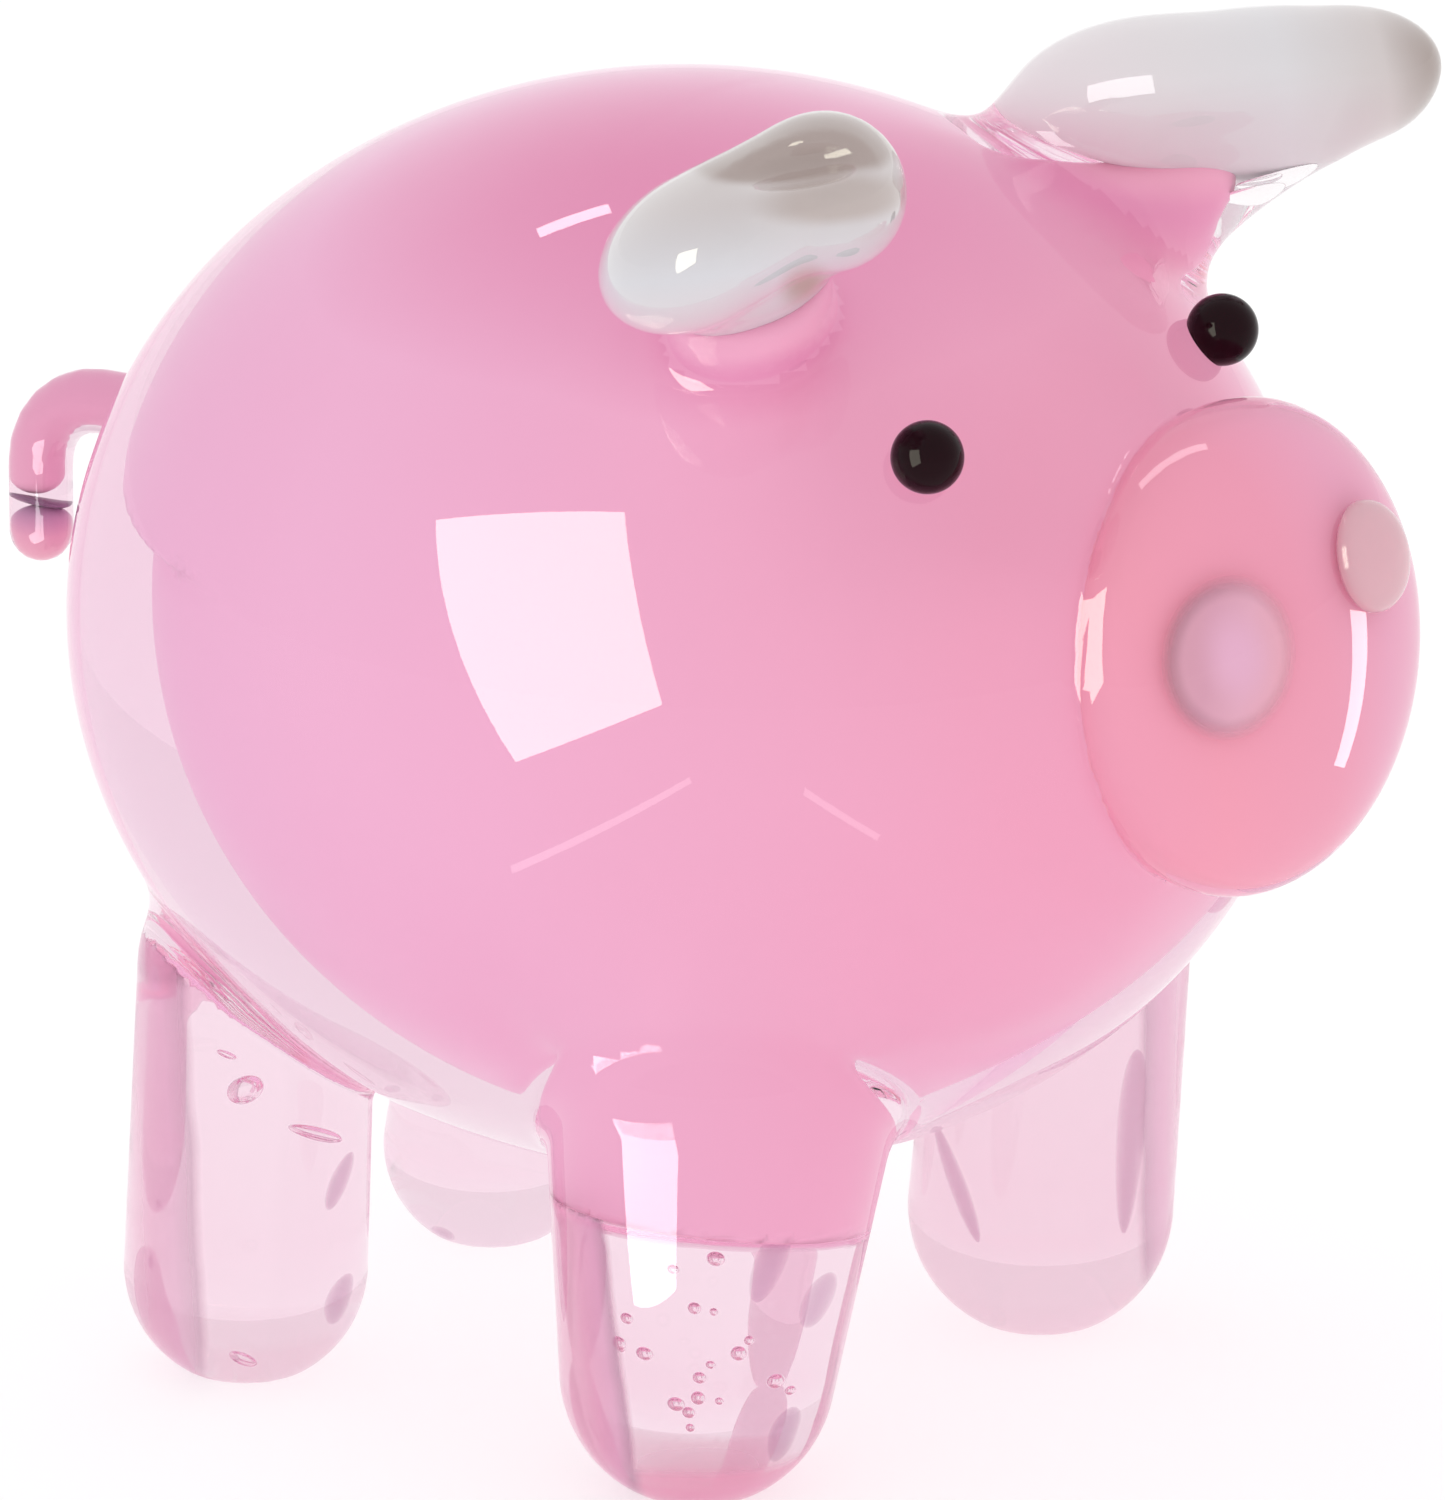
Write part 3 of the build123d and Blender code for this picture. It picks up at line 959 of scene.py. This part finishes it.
def clear_soda_glass(name, tint, shade):
    """Soda-lime glass drawn at the lamp: fire polished, so its only relief is a slow swell."""
    material = new_material(name)
    place = add(material, "ShaderNodeTexCoord")
    swell = add(material, "ShaderNodeTexNoise", {"Scale": 1 / (POLISH_SWELL_WIDTH * MM), "Detail": 1.0},
                {"Vector": place.outputs["Object"]})
    bump = add(material, "ShaderNodeBump", {"Strength": 0.25, "Distance": POLISH_SWELL_DEPTH * MM},
               {"Height": swell.outputs["Fac"]})
    polished = {"Base Color": linear(tint), "Roughness": 0.0, "IOR": GLASS_INDEX, "Transmission Weight": 1.0}
    glassy = add(material, "ShaderNodeBsdfPrincipled", polished, {"Normal": bump.outputs["Normal"]})
    through = add(material, "ShaderNodeBsdfTransparent", {"Color": linear(shade)})
    path = add(material, "ShaderNodeLightPath")
    soft = add(material, "ShaderNodeMath", {"operation": "MAXIMUM"},
               {0: path.outputs["Is Shadow Ray"], 1: path.outputs["Is Diffuse Ray"]})
    mix = add(material, "ShaderNodeMixShader", (),
              {0: soft.outputs[0], 1: glassy.outputs[0], 2: through.outputs[0]})
    return finish(material, mix.outputs[0])


# Opal glass as fire polished: fine crystals scatter the light under a soft gloss. Inside other
# glass it has no gloss of its own.
OPAL_FINISH = {"Roughness": 0.3, "IOR": OPAL_INDEX, "Specular IOR Level": 0.15}
INNER_FINISH = {"Roughness": 0.4, "Specular IOR Level": 0.0}


def opal(name, direction, span, colours, surface_finish=OPAL_FINISH, painted_shade_blots=(), **drift):
    """Opal glass whose colour drifts where it was stretched."""
    material = new_material(name)
    colour = graded(material, direction, span, colours, **drift)
    # Painted shade laid over the colour, in the folds of the right ear
    for middle, axes, radii, edge, over in painted_shade_blots:
        colour = laid_over(material, blot(material, middle, axes, radii, edge), colour, over)
    surface = add(material, "ShaderNodeBsdfPrincipled", surface_finish, {"Base Color": colour})
    return finish(material, surface.outputs[0])


def rose_opal_glass():
    """Rose opal, lilac towards the tail and salmon towards the nose, with painted shade that darkens it along
    the top of the back.
    """
    material = new_material("rose_opal_glass")
    colour = graded(material, NOSE, (-11.0, 11.0),
                    ((0.0, "#F8C6E6"), (0.5, "#FABDDD"), (0.75, "#F9B7D5"), (1.0, "#F9B0CC")))
    # Painted shade: a band that darkens the rose towards the top of the back
    high = graded(material, BACK, (6.4, 10.0), ((0.0, 0.0), (0.7, 1.0), (0.8, 0.9), (1.0, 0.1)))
    surface = add(material, "ShaderNodeBsdfPrincipled", OPAL_FINISH,
                  {"Base Color": laid_over(material, high, colour, "#EC97BF")})
    return finish(material, surface.outputs[0])


def snout_rose_glass():
    """Rose opal of the snout, warmest in its middle."""
    return opal("snout_rose_glass", snout_axes()[0], (-5.5, 5.5),
                ((0.0, "#F6A9C4"), (0.4, "#FBA9BE"), (0.75, "#F6A6BE"), (1.0, "#F2ADC9")))


def rose_veil_glass():
    """Breath of lilac glass behind the core, gone by its middle."""
    material = new_material("rose_veil_glass")
    colour = graded(material, BACK, (-6.0, 6.0), ((0.0, "#F0CCEC"), (1.0, "#F3BEDC")))
    surface = add(material, "ShaderNodeBsdfPrincipled", INNER_FINISH, {"Base Color": colour})
    shares = ((0.0, 0.21), (0.12, 0.12), (0.3, 0.0), (1.0, 0.0))
    share = graded(material, NOSE, (-12.0, 12.0), shares, drift=0.1, grain=4.0)
    return finish(material, let_through(material, surface, share))


def leg_tint_glass(name, side, tilt, shares, foot_share):
    """Rose glass drawn along one side of a leg and round its foot, darkest at its edge."""
    right, up, towards = view_axes()
    foot, crown, (foot_radius, crown_radius) = leg_ends(name)
    material = new_material(name + "_tint_glass")
    direction = unit(right * side + UPRIGHT * tilt)
    place = (foot + crown) / 2 @ direction
    span = (place - foot_radius, place + foot_radius)
    edge = shares[2][0]
    colours = ((0.0, "#EBA3C2"), (edge * 0.7, "#DE9BC0"), (edge, "#B5809F"), (edge * 1.3, "#EDA6C2"),
               (1.0, "#EDA6C2"))
    colour = graded(material, direction, span, colours, drift=0.05, grain=4.0)
    surface = add(material, "ShaderNodeBsdfPrincipled", INNER_FINISH, {"Base Color": colour})
    beside = graded(material, direction, span, shares, drift=0.05, grain=4.0)
    foot_shares = ((0.0, foot_share), (0.42, foot_share), (0.56, 0.0), (1.0, 0.0))
    below = graded(material, UPRIGHT, (TABLE, TABLE + TINT_FOOT_HEIGHT), foot_shares, drift=0.1, grain=2.0)
    either = add(material, "ShaderNodeMath", {"operation": "MAXIMUM"}, {0: beside, 1: below})
    return finish(material, let_through(material, surface, either.outputs[0]))


def mauve_wisp_glass():
    """Mauve glass drawn so thin that most of the light goes through."""
    material = new_material("mauve_wisp_glass")
    colour = graded(material, UPRIGHT, (-20.0, -8.0), ((0.0, "#C48FB6"), (1.0, "#D6A3C8")))
    surface = add(material, "ShaderNodeBsdfPrincipled", INNER_FINISH, {"Base Color": colour})
    rim = add(material, "ShaderNodeLayerWeight")
    share = add(material, "ShaderNodeMapRange", {"From Min": 0.95, "From Max": 0.0, "To Max": 0.32},
                {"Value": rim.outputs["Facing"]})
    return finish(material, let_through(material, surface, share.outputs[0]))


def white_opal_glass(name):
    """Opal white glass, cool in the lobe. On the right ear painted shade turns it grey-brown towards its
    hollow and in its folds; the left ear runs to grey-brown at its tip.
    """
    root, middle, throat, axes = ear_frame(name)
    if name == "ear_right":
        # Painted shade: the right ear greys towards its hollow, and painted shade blots lie in its folds
        direction, reach = fold_axes()[1], 2.4
        colours = ((0.0, "#DED4D6"), (0.3, "#D9D9DE"), (0.6, "#D0C9C9"), (1.0, "#CCC3C0"))
        painted_shade_blots = [(middle + np.array(place) @ axes, fold_axes(), radii, edge, colour)
                 for place, radii, edge, colour in EAR_PAINTED_SHADE]
    else:
        direction, reach = axes[2], 5.3
        colours = ((0.0, "#EADFE4"), (0.3, "#E4DEE1"), (0.6, "#DFDDE0"), (0.85, "#D3CBCA"), (1.0, "#937F76"))
        painted_shade_blots = []
    place = middle @ direction
    return opal(name + "_white_opal", direction, (place - reach, place + reach), colours, painted_shade_blots=painted_shade_blots,
                drift=0.06, grain=3.0)


def black_glass():
    """Dense violet glass that looks black, with a maroon warmth at its thinner edge."""
    return opal("black_glass", UPRIGHT, (2.0, 9.0), ((0.0, "#2A0712"), (1.0, "#1C050C")),
                {"Roughness": 0.03, "IOR": OPAL_INDEX, "Specular IOR Level": 0.1})


def dish_glass():
    """Pale opal dot seen through the skin: its edge has run softly into the rose. Painted shade darkens it
    towards its upper left and a painted light brightens its middle, so that it looks dished.
    """
    material = new_material("pale_opal_dish")
    middle, axes = nostril_seat(-1)
    # Painted shade: darker towards the upper left, as if the nostril were dished
    direction = unit(axes[0] - DISH_SHADE_FALL * axes[1])
    place = middle @ direction
    colours = ((0.0, "#DDA9B9"), (0.35, "#DDA9BC"), (0.65, "#E9B7C9"), (1.0, "#EDB5C4"))
    colour = graded(material, direction, (place - DISH_SHADE_REACH, place + DISH_SHADE_REACH), colours,
                    drift=0.25, grain=1.5)
    # Painted light that brightens the middle of the nostril
    painted_light = blot(material, middle + axes[0] * DISH_PAINTED_LIGHT_SHIFT, axes, *DISH_PAINTED_LIGHT)
    surface = add(material, "ShaderNodeBsdfPrincipled", {"Roughness": 0.4, "Specular IOR Level": 0.1},
                  {"Base Color": laid_over(material, painted_light, colour, "#ECBDD6")})
    disc = blot(material, middle + axes[0] * DISH_SHIFT, axes, *DISH_EDGE)
    return finish(material, let_through(material, surface, disc))


def bead_glass():
    """Translucent pinkish opal bead, a quarter clear."""
    return opal("pale_opal_bead", UPRIGHT, (-2.0, 6.0), ((0.0, "#FBC7D1"), (1.0, "#F0BFCA")),
                {"Roughness": 0.12, "IOR": OPAL_INDEX, "Transmission Weight": 0.25}, drift=0.5, grain=0.8)


def tail_rose_glass():
    """Translucent rose rod, pinker where it turns down."""
    return opal("tail_rose_glass", UPRIGHT, (-3.0, 4.0), ((0.0, "#F2B3CB"), (1.0, "#E9A6C6")))


def mauve_glass():
    """Dark mauve glass of the seam in the tail."""
    return opal("mauve_glass", LEFT, (-1.0, 1.0), ((0.0, "#77506F"), (1.0, "#9A6E92")))


def tail_end_glass():
    """Mauve under the seam of the tail, then rose at its tip."""
    end = tail_points()[-1][2]
    return opal("tail_end_glass", UPRIGHT, (end - TAIL_END_COLOUR_REACH, end + TAIL_END_COLOUR_REACH),
                ((0.0, "#F3B4C6"), (0.45, "#ECA8C2"), (0.7, "#D898BA"), (1.0, "#BC88AE")))


def air():
    """Air in glass: the light bends the other way, and its edge looks dark."""
    material = new_material("air_seed")
    surface = add(material, "ShaderNodeBsdfGlass", {"IOR": 1 / GLASS_INDEX, "Roughness": 0.0})
    return finish(material, surface.outputs[0])


def matt_white_card():
    """Matt card that glows a little, so that it stays white and keeps a pale shadow."""
    material = new_material("matt_white_card")
    card = add(material, "ShaderNodeBsdfDiffuse", {"Color": linear("#CBCBCB")})
    glow = add(material, "ShaderNodeEmission", {"Strength": FLOOR_GLOW})
    both = add(material, "ShaderNodeAddShader", (), {0: card.outputs[0], 1: glow.outputs[0]})
    return finish(material, both.outputs[0])


def panel_light(name, strength, colour):
    """Light of a panel that hides nothing behind it."""
    material = new_material(name + "_light")
    light = add(material, "ShaderNodeEmission", {"Strength": strength, "Color": linear(colour)})
    clear = add(material, "ShaderNodeBsdfTransparent")
    both = add(material, "ShaderNodeAddShader", (), {0: light.outputs[0], 1: clear.outputs[0]})
    return finish(material, both.outputs[0])


def floor_and_light():
    """White floor and soft white surroundings."""
    bpy.ops.mesh.primitive_circle_add(vertices=96, radius=FLOOR_RADIUS, fill_type="NGON")
    floor = bpy.context.object
    floor.name = "floor"
    floor.data.materials.append(matt_white_card())
    world = bpy.data.worlds.new("white_room")
    world.use_nodes = True
    bpy.context.scene.world = world
    world.node_tree.nodes["Background"].inputs["Color"].default_value = linear(WHITE)
    world.node_tree.nodes["Background"].inputs["Strength"].default_value = ROOM_LIGHT


def camera_place():
    across, height = in_millimetres(PHOTO_CENTRE, BODY_SHOWN_AT)
    return np.array([across, height, CAMERA_DISTANCE]) @ np.array(view_axes())


def camera():
    lens = bpy.data.cameras.new("camera")
    lens.sensor_width = SENSOR
    lens.lens = SENSOR * CAMERA_DISTANCE / FRAME_HEIGHT
    eye = bpy.data.objects.new("camera", lens)
    bpy.context.scene.collection.objects.link(eye)
    rows = np.eye(4)
    rows[:3, :3] = np.stack(view_axes(), axis=1)
    rows[:3, 3] = (BODY_MIDDLE + camera_place()) * MM
    eye.matrix_world = Matrix(rows.tolist())
    bpy.context.scene.camera = eye


def mirrored(field, corners, distance):
    """Where a form mirrors places of the photograph to: that far off, or on the table before it."""
    right, up, towards = view_axes()
    rays = in_millimetres(corners, PHOTO_CENTRE) @ np.array([right, up]) - towards * CAMERA_DISTANCE
    rays /= np.linalg.norm(rays, axis=1)[:, None]
    hits = camera_place() + rays * (CAMERA_DISTANCE - BODY_LENGTH)
    for _ in range(MARCH_STEPS):
        hits = hits + rays * field(hits)[:, None] * MARCH_SHARE
    normals = outward(field, hits)
    back = rays - 2 * (rays * normals).sum(axis=1)[:, None] * normals
    fall = np.maximum(-back[:, 2], TINY)
    reach = np.minimum((hits[:, 2] - TABLE - CARD_RISE) / fall, distance)
    return BODY_MIDDLE + hits + back * reach[:, None]


def room():
    """Lights of the room, which only the glass sees, each bright edge only the form that shows it."""
    forms = {name: form for name, form, melt in GLASS_FORMS}
    for name, mirror, distance, strength, colour, corners in ROOM:
        mesh = bpy.data.meshes.new(name)
        mesh.from_pydata((mirrored(forms[mirror], corners, distance) * MM).tolist(), [], [(0, 1, 2, 3)])
        mesh.materials.append(panel_light(name, strength, colour))
        shape = bpy.data.objects.new(name, mesh)
        bpy.context.scene.collection.objects.link(shape)
        shape.visible_camera = False
        shape.visible_diffuse = False
        shape.visible_shadow = False
        shape.visible_transmission = False
        seen_by = bpy.data.collections.new(name + "_seen_by")
        for glass_name in WINDOW_SEEN_BY if name == "window" else [title(mirror)]:
            seen_by.objects.link(bpy.data.objects[glass_name])
        shape.light_linking.receiver_collection = seen_by


bpy.context.scene.view_settings.view_transform = "Standard"
cycles = bpy.context.scene.cycles
cycles.max_bounces = BOUNCES
cycles.glossy_bounces = BOUNCES
cycles.transmission_bounces = BOUNCES
cycles.transparent_max_bounces = CLEAR_LAYERS

clear_glass_pieces(clear_soda_glass(*BODY_GLASS), clear_soda_glass(*SKIN_GLASS))
rose_pieces(rose_opal_glass(), snout_rose_glass())
rose_veil(rose_veil_glass())
for leg, tint in LEG_TINTS.items():
    leg_tint(leg, leg_tint_glass(leg, *tint))
wisps(mauve_wisp_glass())
for ear in EARS:
    ear_opal(ear, white_opal_glass(ear))
black = black_glass()
for eye in EYES:
    eye_bead(eye, black)
nostrils(dish_glass(), bead_glass())
tail_rose(tail_rose_glass(), mauve_glass(), tail_end_glass())
seeds(air())
floor_and_light()
room()
camera()
